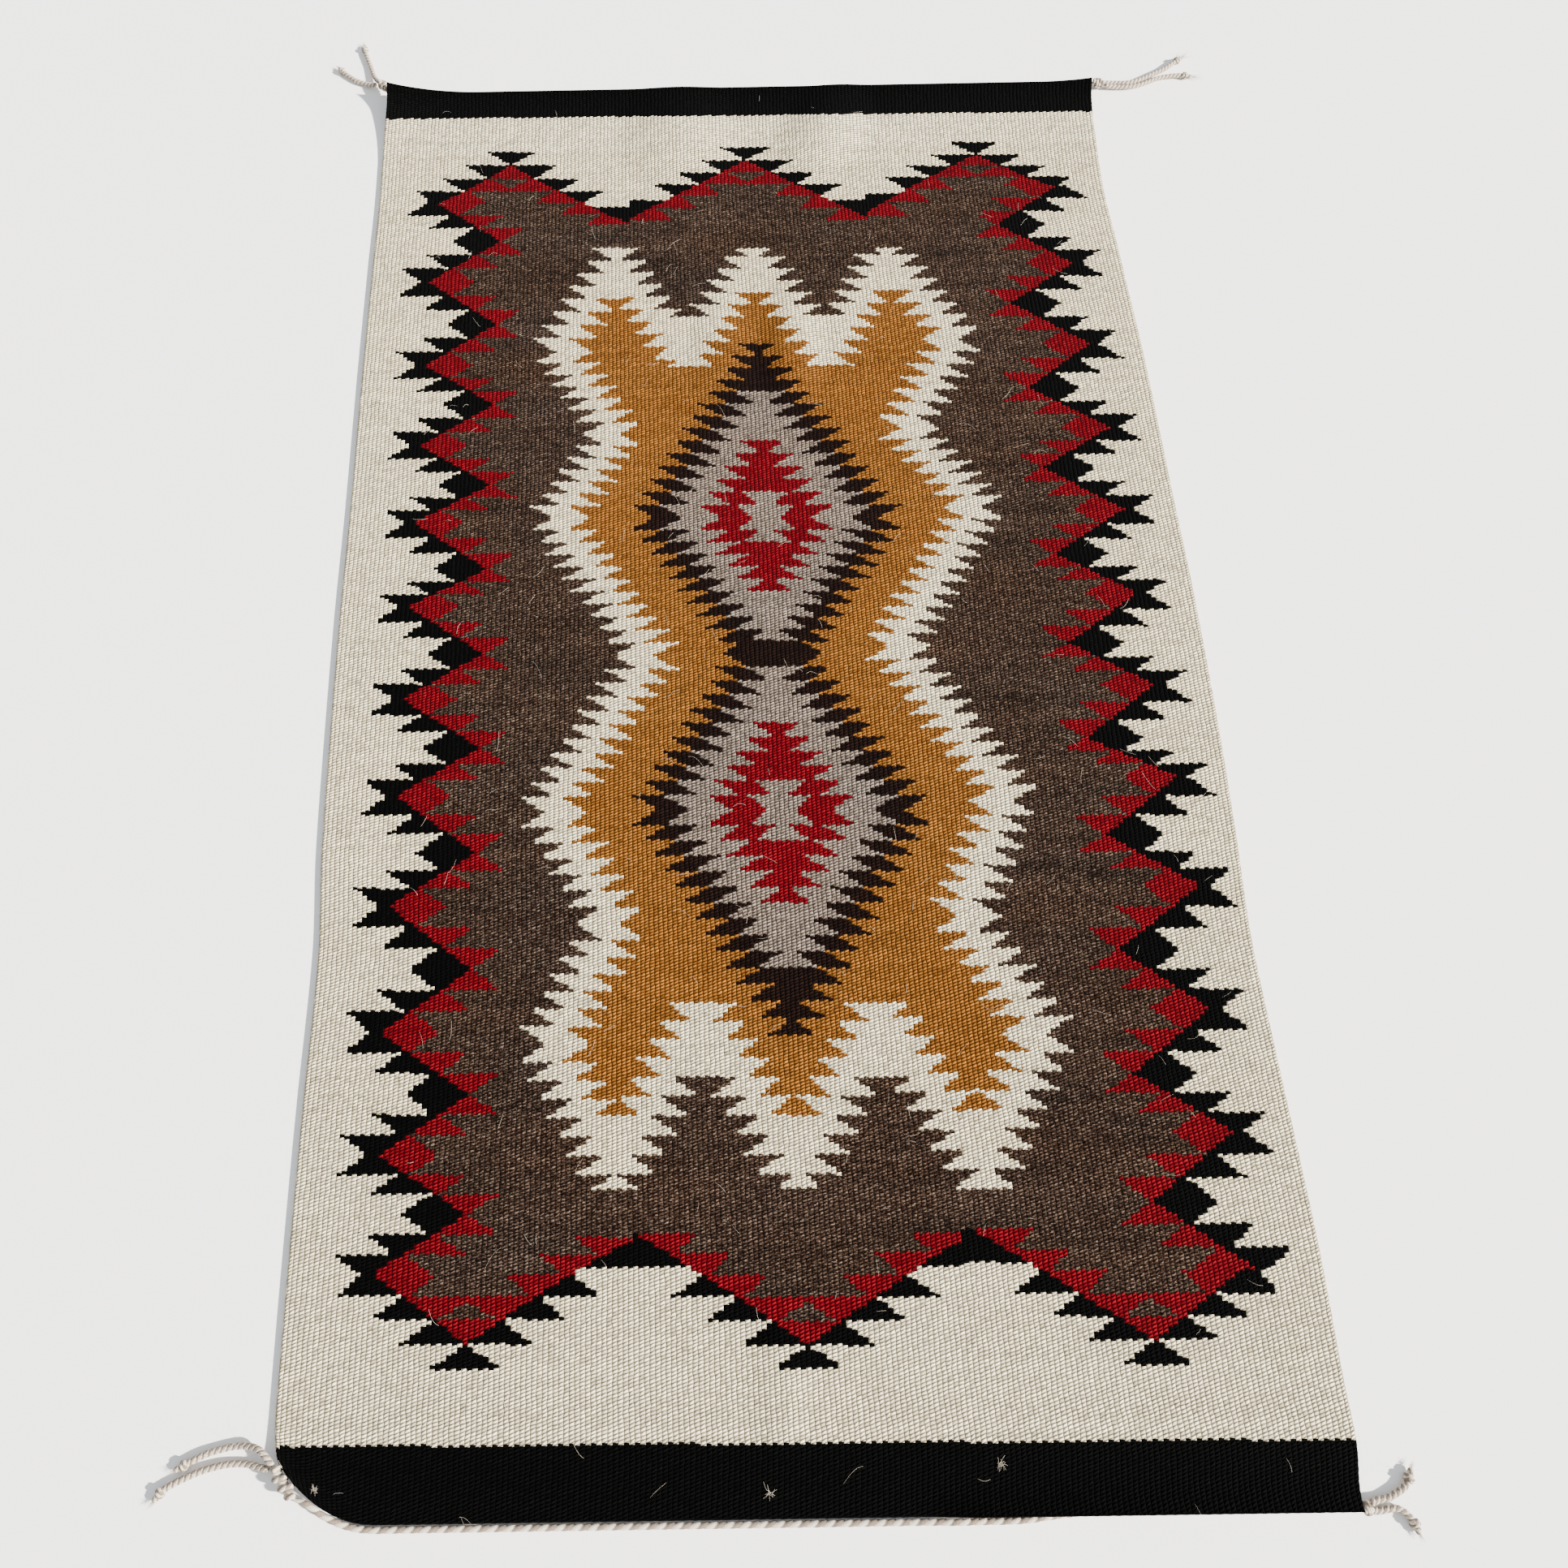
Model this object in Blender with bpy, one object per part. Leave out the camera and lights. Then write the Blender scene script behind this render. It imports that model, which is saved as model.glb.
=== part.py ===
"""A hand-woven wool rug, laid out flat, with its end cords, corner knots and tied tails.

Metres, +Z up. X runs across the rug, +Y along it towards the far end.
The origin is the middle of the woven web's flat underside, which lies on the surface.
"""
import math

import bpy
from mathutils import Vector

MM = 0.001

# Driving dimensions of the woven web
WEB_WIDTH = 0.810
WEB_LENGTH = 1.446
WEB_THICKNESS = 0.0034
WEB_LEAN = -0.018  # the far end stands this far to the side of the near end
SELVAGE_ROUND = 0.0010  # the edges are rounded by this much

# How far each side stands out from a straight line, in mm
SIDE_BOW = (
    # share of the length from the near end, left side, right side
    (0.00, 0.0, 1.0),
    (0.03, 1.0, 7.5),
    (0.06, 1.5, 7.0),
    (0.13, 1.5, 7.5),
    (0.21, 0.5, 4.0),
    (0.30, -2.0, 0.5),
    (0.36, 2.5, 4.0),
    (0.43, 4.0, 7.0),
    (0.53, 4.5, 8.0),
    (0.61, 3.0, 6.0),
    (0.73, 2.5, 3.5),
    (0.83, 1.0, -2.0),
    (0.89, -0.5, -6.0),
    (0.96, 0.5, -3.0),
    (1.00, 1.0, 0.0),
)

# Low folds left from storage, in mm, with the turn in degrees from the rug's length
FOLDS = (
    # x and y of the middle, half length, half width, turn, height
    (-78, 648, 95, 78, 0, 9.0),
    (86, 652, 88, 56, 31, 10.5),
    (-36, 358, 95, 40, 0, 4.0),
    (38, 358, 95, 40, 0, 6.0),
    (-10, -632, 70, 30, 0, 3.2),
)

# Corners that curl up off the floor, in mm; the near left one is also pulled in by its knot
CURLS = (
    # side (-1 left), end (-1 near), reach along the edges, height, pull across, pull along
    (-1, 1, 110, 15, 5, 0),
    (1, 1, 60, 4, 0, 0),
    (-1, -1, 80, 11, 12, 38),
)

# The web lies flat on the floor inside a plain rectangle, and its edges stand just clear of it
REST_HALF_WIDTH = 0.350
REST_NEAR_Y = -0.637
REST_FAR_Y = 0.629
EDGE_LIFT = 0.0006
EDGE_LIFT_REACH = 0.030

# End cords: two twined two-ply yarns, worked into each end of the web
END_CORD_RADIUS = 0.0025
FLOOR_GAP = 0.0002
PIECE_GAP = 0.0003
RIM_REACH = 0.026  # the strip of web that rides up over a tucked cord
RIM_LIFT = 0.0071
FAR_DRAW = 0.006  # the far end is drawn in by this much as it rides up
FAR_DRAW_REACH = 0.12
TUCK_DEPTH = 0.0015  # how far inside the web's edge a tucked cord lies
NEAR_LIFT_SPAN = (0.09, 0.14)  # x where the near rim rises
NEAR_DROP_SPAN = (0.10, 0.14)  # x where the near cord settles on the floor
NEAR_TUCK_SPAN = (0.155, 0.21)  # x where it slips under the rim
END_CORD_STEP = 0.013

# Twisted tails: the free ends of the end cords
TAIL_DIAMETER = 0.0052
TAIL_PITCH = 0.0092  # one turn of the two plies, drawn at twice its real length
TAIL_SIDES = 6
PLY_DEPTH = 0.26  # groove between the plies, as a share of the radius

# Routes in mm, from each corner knot to the tip
TAIL_ROUTES = {
    # x, y, z along the middle of the cord
    "tail_near_left_upper": (
        (-394.2, -682.1, 11.1),
        (-405, -672, 9.0),
        (-415, -669, 5.6),
        (-426, -669, 3.4),
        (-437, -671, 2.9),
        (-448, -674, 2.9),
        (-457, -678, 2.9),
        (-465, -682, 2.9),
        (-471, -685, 2.9),
    ),
    "tail_near_left_lower": (
        (-397.3, -684.6, 8.8),
        (-408, -682.5, 5.6),
        (-418, -681, 3.4),
        (-429, -681, 2.9),
        (-441, -683, 2.9),
        (-452, -686, 2.9),
        (-462, -690, 2.9),
        (-471, -694, 2.9),
        (-479, -699, 2.9),
        (-484, -706, 2.9),
    ),
    "tail_near_right_upper": (
        (421.5, -718.1, 4.9),
        (429, -716, 3.2),
        (436, -715, 2.9),
        (443, -712, 2.9),
        (450, -708, 2.9),
        (455, -702, 2.9),
        (458, -695, 2.9),
    ),
    "tail_near_right_lower": (
        (422.2, -723.0, 4.0),
        (429, -723, 3.0),
        (436, -722, 2.9),
        (443, -722, 2.9),
        (449, -726, 2.9),
        (453, -732, 2.9),
        (455, -739, 2.9),
    ),
    "tail_far_left_upper": (
        (-423.7, 737.1, 8.0),
        (-431, 750, 4.4),
        (-437, 768, 2.9),
        (-441, 779, 2.9),
        (-445, 791, 2.9),
        (-448, 804, 2.9),
    ),
    "tail_far_left_lower": (
        (-427.6, 735.5, 6.2),
        (-438, 740, 3.6),
        (-451, 746, 2.9),
        (-459, 752, 2.9),
        (-467, 759, 2.9),
        (-475, 768, 2.9),
    ),
    "tail_far_right_upper": (
        (410.6, 719.8, 4.6),
        (426, 721, 2.9),
        (439, 721, 2.9),
        (452, 724, 2.9),
        (464, 730, 2.9),
        (475, 736, 2.9),
        (486, 742, 2.9),
        (496, 750, 2.9),
        (508, 759, 2.9),
    ),
    "tail_far_right_lower": (
        (412.8, 714.8, 4.4),
        (426, 714.5, 2.9),
        (439, 714.5, 2.9),
        (452, 717, 2.9),
        (464, 722, 2.9),
        (475, 727, 2.9),
        (488, 730, 2.9),
        (502, 731, 2.9),
        (515, 729, 2.9),
    ),
}

# Corner knots, in mm: the end cord's two yarns tied off before they part into tails
KNOTS = {
    # start x, y, z, end x, y, z, thickness, turn of the wraps
    "knot_near_left": ((-377.8, -703.3, 8.0), (-393.8, -683.3, 10.5), 10.5, 9.0),
    "knot_near_right": ((416.3, -721.8, 4.8), (421.0, -720.2, 5.2), 8.8, 9.0),
    "knot_far_left": ((-409.5, 720.5, 13.6), (-423.5, 736.0, 7.9), 9.4, 8.0),
    "knot_far_right": ((399.5, 718.5, 5.8), (410.0, 717.8, 5.4), 9.4, 8.0),
}


def smooth_share(value, low, high):
    """0 below low, 1 above high, and a soft rise between them"""
    share = min(max((value - low) / (high - low), 0.0), 1.0)
    return share * share * (3.0 - 2.0 * share)


def catmull(before, start, end, after, share):
    """A smooth value between start and end, from the two beyond them"""
    return 0.5 * (
        2.0 * start
        + (end - before) * share
        + (2.0 * before - 5.0 * start + 4.0 * end - after) * share ** 2
        + (3.0 * start - before - 3.0 * end + after) * share ** 3
    )


def side_bow(along):
    """Left and right bow, in metres, at a share of the length"""
    last = len(SIDE_BOW) - 1
    row = 0
    while row < last - 1 and along > SIDE_BOW[row + 1][0]:
        row += 1
    picks = [SIDE_BOW[min(max(row + step, 0), last)] for step in (-1, 0, 1, 2)]
    share = (along - picks[1][0]) / (picks[2][0] - picks[1][0])
    left = catmull(picks[0][1], picks[1][1], picks[2][1], picks[3][1], share)
    right = catmull(picks[0][2], picks[1][2], picks[2][2], picks[3][2], share)
    return left * MM, right * MM


def corner_share(across, along, side, end, reach):
    """1 at a corner, falling to 0 at its reach along the two edges"""
    from_side = across if side < 0 else 1.0 - across
    from_end = along if end < 0 else 1.0 - along
    distance = from_side * WEB_WIDTH + from_end * WEB_LENGTH
    return max(1.0 - distance / (reach * MM), 0.0) ** 2


def web_plan(across, along):
    """x and y of a point of the web, from its shares of the width and the length"""
    left, right = side_bow(along)
    x = WEB_LEAN * (along - 0.5) + (across - 0.5) * WEB_WIDTH
    x += right * across - left * (1.0 - across)
    y = (along - 0.5) * WEB_LENGTH
    y -= FAR_DRAW * max(1.0 - (1.0 - along) * WEB_LENGTH / FAR_DRAW_REACH, 0.0) ** 2
    for side, end, reach, _, pull_x, pull_y in CURLS:
        pull = corner_share(across, along, side, end, reach)
        x -= side * pull * pull_x * MM
        y -= end * pull * pull_y * MM
    return x, y


def fold_height(x, y):
    """How high the folds stand at a place"""
    height = 0.0
    for middle_x, middle_y, half_length, half_width, turn, rise in FOLDS:
        off_x = x / MM - middle_x
        off_y = y / MM - middle_y
        angle = math.radians(turn)
        run = off_x * math.sin(angle) + off_y * math.cos(angle)
        side = off_x * math.cos(angle) - off_y * math.sin(angle)
        spread = (run / half_length) ** 2 + (side / half_width) ** 2
        if spread < 1.0:
            height += rise * MM * (1.0 - spread) ** 2
    return height


def web_lift(across, along):
    """How high the web's underside stands off the floor"""
    x, y = web_plan(across, along)
    outside = max(abs(x) - REST_HALF_WIDTH, REST_NEAR_Y - y, y - REST_FAR_Y, 0.0)
    height = fold_height(x, y) + EDGE_LIFT * min(outside / EDGE_LIFT_REACH, 1.0)
    for side, end, reach, rise, _, _ in CURLS:
        height += rise * MM * corner_share(across, along, side, end, reach)
    far_rim = max(1.0 - (1.0 - along) * WEB_LENGTH / RIM_REACH, 0.0) ** 2
    near_rim = max(1.0 - along * WEB_LENGTH / RIM_REACH, 0.0) ** 2
    height += RIM_LIFT * far_rim
    height += RIM_LIFT * near_rim * smooth_share(x, *NEAR_LIFT_SPAN)
    return height


def stations(spans):
    """Shares from 0 to 1, from rows of length in metres and count"""
    total = sum(length for length, _ in spans)
    shares = [0.0]
    start = 0.0
    for length, count in spans:
        shares += [(start + length * step / count) / total for step in range(1, count + 1)]
        start += length
    return shares


def wool(name, colour):
    """A plain wool material"""
    material = bpy.data.materials.new(name)
    material.use_nodes = True
    shader = material.node_tree.nodes["Principled BSDF"]
    shader.inputs["Base Color"].default_value = (*colour, 1.0)
    shader.inputs["Roughness"].default_value = 0.9
    return material


def add_object(name, points, faces, material):
    """One closed solid from its points and faces"""
    mesh = bpy.data.meshes.new(name)
    mesh.from_pydata([tuple(point) for point in points], [], faces)
    mesh.materials.append(material)
    mesh.shade_smooth()
    mesh.validate()
    piece = bpy.data.objects.new(name, mesh)
    bpy.context.scene.collection.objects.link(piece)
    return piece


def build_web(material):
    """The woven web: one sheet with its uneven outline, folds and curled corners"""
    columns = stations(((0.026, 3), (0.029, 1), (0.160, 6), (0.380, 16), (0.160, 5), (0.029, 1), (0.026, 3)))
    rows = stations(
        ((0.026, 4), (0.060, 5), (0.130, 5), (0.620, 9), (0.240, 9), (0.140, 5), (0.136, 6), (0.068, 3), (0.026, 4))
    )
    wide = len(columns)
    deep = len(rows)
    rest_columns = (4, wide - 5)
    rest_rows = (9, deep - 8)
    rest_span = columns[rest_columns[1]] - columns[rest_columns[0]]
    points = []
    for layer in (0, 1):
        for row, along in enumerate(rows):
            for column, across in enumerate(columns):
                x, y = web_plan(across, along)
                x += SELVAGE_ROUND * ((column == 0) - (column == wide - 1))
                y += SELVAGE_ROUND * ((row == 0) - (row == deep - 1))
                height = web_lift(across, along)
                if rest_columns[0] <= column <= rest_columns[1] and rest_rows[0] <= row <= rest_rows[1]:
                    # Straight columns here give the flat part four plain corners to rest on
                    share = (across - columns[rest_columns[0]]) / rest_span
                    straight = REST_HALF_WIDTH * (2.0 * share - 1.0)
                    height = web_lift(across + (straight - x) / WEB_WIDTH, along)
                    if column in rest_columns or row in rest_rows:
                        height = fold_height(straight, y)
                    x = straight
                points.append((x, y, height + layer * WEB_THICKNESS))
    faces = []
    top = wide * deep
    for row in range(deep - 1):
        for column in range(wide - 1):
            corner = row * wide + column
            ring = (corner, corner + 1, corner + 1 + wide, corner + wide)
            faces += [(ring[0], ring[2], ring[1]), (ring[0], ring[3], ring[2])]
            faces += [tuple(top + ring[pick] for pick in picks) for picks in ((0, 1, 2), (0, 2, 3))]
    # The rim: a rounded selvage, with its own row of points at mid thickness
    border = [(0, column) for column in range(wide - 1)]
    border += [(row, wide - 1) for row in range(deep - 1)]
    border += [(deep - 1, column) for column in range(wide - 1, 0, -1)]
    border += [(row, 0) for row in range(deep - 1, 0, -1)]
    first = len(points)
    for row, column in border:
        x, y = web_plan(columns[column], rows[row])
        points.append((x, y, web_lift(columns[column], rows[row]) + WEB_THICKNESS / 2))
    count = len(border)
    for step in range(count):
        following = (step + 1) % count
        low_a = border[step][0] * wide + border[step][1]
        low_b = border[following][0] * wide + border[following][1]
        mid_a = first + step
        mid_b = first + following
        faces += [(low_a, low_b, mid_b), (low_a, mid_b, mid_a)]
        faces += [(mid_a, mid_b, top + low_b), (mid_a, top + low_b, top + low_a)]
    return add_object("web", points, faces, material)


def smooth_route(points, step):
    """Evenly spaced points on a smooth curve through the route's own points"""
    knots = [points[0] * 2.0 - points[1], *points, points[-1] * 2.0 - points[-2]]
    fine = []
    for index in range(1, len(knots) - 2):
        before, start, end, after = knots[index - 1:index + 3]
        for part in range(24):
            fine.append(catmull(before, start, end, after, part / 24))
    fine.append(points[-1].copy())
    lengths = [0.0]
    for first, second in zip(fine, fine[1:]):
        lengths.append(lengths[-1] + (second - first).length)
    count = max(round(lengths[-1] / step), 3)
    spaced = []
    place = 0
    for index in range(count + 1):
        wanted = lengths[-1] * index / count
        while place < len(fine) - 2 and lengths[place + 1] < wanted:
            place += 1
        span = lengths[place + 1] - lengths[place]
        spaced.append(fine[place].lerp(fine[place + 1], (wanted - lengths[place]) / span))
    return spaced


def rope(name, middle, radius_at, pitch, sides, depth, material):
    """A solid cord along a row of points, its two plies raised as twisting ridges"""
    points = []
    travelled = 0.0
    for index, centre in enumerate(middle):
        forward = middle[min(index + 1, len(middle) - 1)] - middle[max(index - 1, 0)]
        forward.normalize()
        aside = forward.cross(Vector((0.0, 0.0, 1.0))).normalized()
        above = aside.cross(forward)
        if index:
            travelled += (centre - middle[index - 1]).length
        twist = 2.0 * math.pi * travelled / pitch if pitch else 0.0
        for side in range(sides):
            angle = 2.0 * math.pi * side / sides
            groove = depth * (1.0 - math.cos(2.0 * (angle - twist))) / 2.0
            reach = radius_at(index / (len(middle) - 1)) * (1.0 - groove)
            points.append(centre + aside * math.cos(angle) * reach + above * math.sin(angle) * reach)
    faces = []
    for ring in range(len(middle) - 1):
        for side in range(sides):
            a = ring * sides + side
            b = ring * sides + (side + 1) % sides
            c = b + sides
            d = a + sides
            faces += [(a, c, b), (a, d, c)]
    start = len(points)
    points += [middle[0], middle[-1]]
    last = (len(middle) - 1) * sides
    for side in range(sides):
        following = (side + 1) % sides
        faces.append((start, side, following))
        faces.append((start + 1, last + following, last + side))
    return add_object(name, points, faces, material)


def end_cord_middle(far):
    """The middle line of an end cord, outside the web's edge or tucked beneath it"""
    along = 1.0 if far else 0.0
    outward = 1.0 if far else -1.0
    count = round(WEB_WIDTH / END_CORD_STEP)
    line = []
    for index in range(count + 1):
        across = index / count
        x, y = web_plan(across, along)
        lift = web_lift(across, along)
        tuck = 1.0 if far else smooth_share(x, *NEAR_TUCK_SPAN)
        beyond = END_CORD_RADIUS + 2.0 * PIECE_GAP
        before_x, before_y = web_plan(max(across - 0.01, 0.0), along)
        after_x, after_y = web_plan(min(across + 0.01, 1.0), along)
        run = Vector((after_x - before_x, after_y - before_y)).normalized()
        normal = Vector((-run.y, run.x)) * outward
        offset = beyond * (1.0 - tuck) - TUCK_DEPTH * tuck
        drop = 1.0 if far else smooth_share(x, *NEAR_DROP_SPAN)
        under = max(lift - RIM_LIFT, 0.0)
        beside = max(lift + WEB_THICKNESS / 2 - END_CORD_RADIUS, 0.0)
        height = END_CORD_RADIUS + FLOOR_GAP + under * drop + beside * (1.0 - drop)
        line.append(Vector((x + normal.x * offset, y + normal.y * offset, height)))
    return line


def knot_door(name):
    """The place just off a knot's start, where the end cord's narrowed end meets it"""
    start, end, _, _ = KNOTS[name]
    first = Vector(start) * MM
    return first - (Vector(end) * MM - first).normalized() * 3.6 * PIECE_GAP


def build_end_cords(material):
    """The twined cord at each end, plain here, from corner knot to corner knot"""
    for name, far, trim_left, trim_right in (("end_cord_near", False, 2, 1), ("end_cord_far", True, 1, 1)):
        end = "far" if far else "near"
        middle = end_cord_middle(far)
        middle = middle[trim_left:len(middle) - trim_right]
        middle = [knot_door(f"knot_{end}_left"), *middle, knot_door(f"knot_{end}_right")]


        def radius_at(share):
            return END_CORD_RADIUS * min(0.5 + 40.0 * min(share, 1.0 - share), 1.0)

        rope(name, middle, radius_at, 0.0, 8, 0.0, material)


def tail_radius(share, length):
    """Even along the tail, with a tied knot and a short brush of yarn ends at the tip"""
    from_tip = (1.0 - share) * length / MM
    knot = math.exp(-((from_tip - 8.5) / 3.2) ** 2)
    waist = math.exp(-((from_tip - 4.2) / 1.6) ** 2)
    brush = max(1.0 - from_tip / 3.0, 0.0)
    return TAIL_DIAMETER / 2 * (1.0 + 0.62 * knot - 0.18 * waist - 0.30 * brush)


def build_tails(material):
    """Eight tails, two from each corner knot"""
    ring_step = TAIL_PITCH / TAIL_SIDES
    for name, route in TAIL_ROUTES.items():
        middle = smooth_route([Vector(point) * MM for point in route], ring_step)
        length = sum((b - a).length for a, b in zip(middle, middle[1:]))
        for centre, share in zip(middle, [index / (len(middle) - 1) for index in range(len(middle))]):
            centre.z = max(centre.z, tail_radius(share, length) + FLOOR_GAP)
        rope(
            name,
            middle,
            lambda share, length=length: tail_radius(share, length),
            TAIL_PITCH,
            TAIL_SIDES,
            PLY_DEPTH,
            material,
        )


def build_knots(material):
    """Corner knots: short, fat, wrapped lumps of the same yarn"""
    for name, (start, end, thickness, pitch) in KNOTS.items():
        first = Vector(start) * MM
        last = Vector(end) * MM
        count = 12
        middle = [first.lerp(last, index / count) for index in range(count + 1)]

        def radius_at(share, full=thickness * MM / 2):
            return full * (0.55 + 0.45 * math.sqrt(max(1.0 - (2.0 * share - 1.0) ** 2, 0.0)))

        rope(name, middle, radius_at, pitch * MM, 8, 0.22, material)


def main():
    for old in list(bpy.data.objects):
        bpy.data.objects.remove(old, do_unlink=True)
    build_web(wool("patterned_wool", (0.42, 0.30, 0.26)))
    cord_wool = wool("cord_wool", (0.50, 0.44, 0.37))
    build_end_cords(cord_wool)
    build_knots(cord_wool)
    build_tails(cord_wool)


main()
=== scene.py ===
"""The look of a hand-woven wool rug lying flat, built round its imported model. Metres, +Z up, +Y towards the far end."""
import math

import bpy
import numpy as np
from mathutils import Matrix, Vector


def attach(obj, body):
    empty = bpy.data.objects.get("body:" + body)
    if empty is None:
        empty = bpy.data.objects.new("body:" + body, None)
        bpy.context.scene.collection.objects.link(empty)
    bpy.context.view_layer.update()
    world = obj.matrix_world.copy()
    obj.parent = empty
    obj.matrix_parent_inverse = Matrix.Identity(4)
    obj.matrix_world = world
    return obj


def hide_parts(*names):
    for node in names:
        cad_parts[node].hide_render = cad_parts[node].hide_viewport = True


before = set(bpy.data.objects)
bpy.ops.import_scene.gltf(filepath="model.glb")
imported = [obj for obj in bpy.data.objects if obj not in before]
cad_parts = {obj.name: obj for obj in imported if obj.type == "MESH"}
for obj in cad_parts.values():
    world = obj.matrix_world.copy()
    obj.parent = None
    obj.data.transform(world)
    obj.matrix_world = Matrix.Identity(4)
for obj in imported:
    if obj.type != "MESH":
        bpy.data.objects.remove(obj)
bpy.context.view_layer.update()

# The camera stands over the near end and looks down at about 69 degrees, as in the photograph.
# Its lens, place and slight sideways shift come from the rug's four corners.
CAMERA_PLACE = Vector((-0.0643, -0.5486, 1.0707))
CAMERA_RIGHT = Vector((0.9999, -0.0145, -0.0090))
CAMERA_UP = Vector((0.0167, 0.9330, 0.3596))
camera_data = bpy.data.cameras.new("camera")
camera_data.sensor_width = 36.0
camera_data.lens = 28.88
camera_data.shift_x = 0.0549
camera = bpy.data.objects.new("camera", camera_data)
bpy.context.scene.collection.objects.link(camera)
axis_x = CAMERA_RIGHT.normalized()
axis_z = axis_x.cross(CAMERA_UP).normalized()
axis_y = axis_z.cross(axis_x)
camera.matrix_world = Matrix.Translation(CAMERA_PLACE) @ Matrix((axis_x, axis_y, axis_z)).transposed().to_4x4()
bpy.context.scene.camera = camera

# The web's shape: one sheet of tapestry weave 0.81 by 1.446 m, its sides bowed by uneven beating.
# Low folds left from storage run across it, and two of its corners curl up off the floor.
WEB_WIDTH = 0.810
WEB_LENGTH = 1.446
WEB_THICKNESS = 0.0034
WEB_LEAN = -0.018
SIDE_BOW = np.array((
    # share of the length from the near end, left side, right side in mm
    (0.00, 0.0, 1.0),
    (0.03, 1.0, 7.5),
    (0.06, 1.5, 7.0),
    (0.13, 1.5, 7.5),
    (0.21, 0.5, 4.0),
    (0.30, -2.0, 0.5),
    (0.36, 2.5, 4.0),
    (0.43, 4.0, 7.0),
    (0.53, 4.5, 8.0),
    (0.61, 3.0, 6.0),
    (0.73, 2.5, 3.5),
    (0.83, 1.0, -2.0),
    (0.89, -0.5, -6.0),
    (0.96, 0.5, -3.0),
    (1.00, 1.0, 0.0),
))
FOLDS = (
    # x and y of the middle, half length, half width, turn in degrees, height, all in mm
    (-78, 648, 95, 78, 0, 9.0),
    (86, 652, 88, 56, 31, 10.5),
    (-36, 358, 95, 40, 0, 4.0),
    (38, 358, 95, 40, 0, 6.0),
    (-10, -632, 70, 30, 0, 3.2),
)
CURLS = (
    # side, end, reach along the edges, height, pull across, pull along, in mm
    (-1, 1, 110, 15, 5, 0),
    (1, 1, 60, 4, 0, 0),
    (-1, -1, 80, 11, 12, 38),
)
REST_HALF_WIDTH = 0.350
REST_NEAR_Y = -0.637
REST_FAR_Y = 0.629
EDGE_LIFT = 0.0006
EDGE_LIFT_REACH = 0.030
RIM_REACH = 0.026
RIM_LIFT = 0.0071
FAR_DRAW = 0.006
FAR_DRAW_REACH = 0.12
NEAR_LIFT_SPAN = (0.09, 0.14)


def smooth_share(value, low, high):
    """0 below low, 1 above high, and a soft rise between them"""
    share = np.clip((value - low) / (high - low), 0.0, 1.0)
    return share * share * (3.0 - 2.0 * share)


def side_bow(along, column):
    """How far a side stands out from its straight line, in metres"""
    last = len(SIDE_BOW) - 1
    row = np.clip(np.searchsorted(SIDE_BOW[:, 0], along, side="left") - 1, 0, last - 1)
    before, start, end, after = (SIDE_BOW[np.clip(row + step, 0, last)] for step in (-1, 0, 1, 2))
    share = (along - start[..., 0]) / (end[..., 0] - start[..., 0])
    before, start, end, after = (pick[..., column] for pick in (before, start, end, after))
    bow = 2.0 * start + (end - before) * share
    bow = bow + (2.0 * before - 5.0 * start + 4.0 * end - after) * share ** 2
    bow = bow + (3.0 * start - before - 3.0 * end + after) * share ** 3
    return bow / 2000.0


def corner_share(across, along, side, end, reach):
    """1 at a corner, falling to 0 at its reach along the two edges"""
    from_side = across if side < 0 else 1.0 - across
    from_end = along if end < 0 else 1.0 - along
    distance = from_side * WEB_WIDTH + from_end * WEB_LENGTH
    return np.maximum(1.0 - distance / (reach / 1000.0), 0.0) ** 2


def web_surface(across, along):
    """x, y and height of the web's underside, from shares of its width and length"""
    across = np.asarray(across, float)
    along = np.asarray(along, float)
    left = side_bow(along, 1)
    right = side_bow(along, 2)
    x = WEB_LEAN * (along - 0.5) + (across - 0.5) * WEB_WIDTH + right * across - left * (1.0 - across)
    y = (along - 0.5) * WEB_LENGTH
    y = y - FAR_DRAW * np.maximum(1.0 - (1.0 - along) * WEB_LENGTH / FAR_DRAW_REACH, 0.0) ** 2
    for side, end, reach, _, pull_x, pull_y in CURLS:
        pull = corner_share(across, along, side, end, reach)
        x = x - side * pull * pull_x / 1000.0
        y = y - end * pull * pull_y / 1000.0
    outside = np.maximum.reduce([np.abs(x) - REST_HALF_WIDTH, REST_NEAR_Y - y, y - REST_FAR_Y, 0.0 * x])
    height = EDGE_LIFT * np.minimum(outside / EDGE_LIFT_REACH, 1.0)
    for middle_x, middle_y, half_length, half_width, turn, rise in FOLDS:
        off_x = x * 1000.0 - middle_x
        off_y = y * 1000.0 - middle_y
        angle = math.radians(turn)
        run = off_x * math.sin(angle) + off_y * math.cos(angle)
        aside = off_x * math.cos(angle) - off_y * math.sin(angle)
        spread = (run / half_length) ** 2 + (aside / half_width) ** 2
        height = height + rise / 1000.0 * np.maximum(1.0 - spread, 0.0) ** 2
    for side, end, reach, rise, _, _ in CURLS:
        height = height + rise / 1000.0 * corner_share(across, along, side, end, reach)
    height = height + RIM_LIFT * np.maximum(1.0 - (1.0 - along) * WEB_LENGTH / RIM_REACH, 0.0) ** 2
    near_rim = np.maximum(1.0 - along * WEB_LENGTH / RIM_REACH, 0.0) ** 2
    height = height + RIM_LIFT * near_rim * smooth_share(x, *NEAR_LIFT_SPAN)
    return x, y, height


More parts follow.
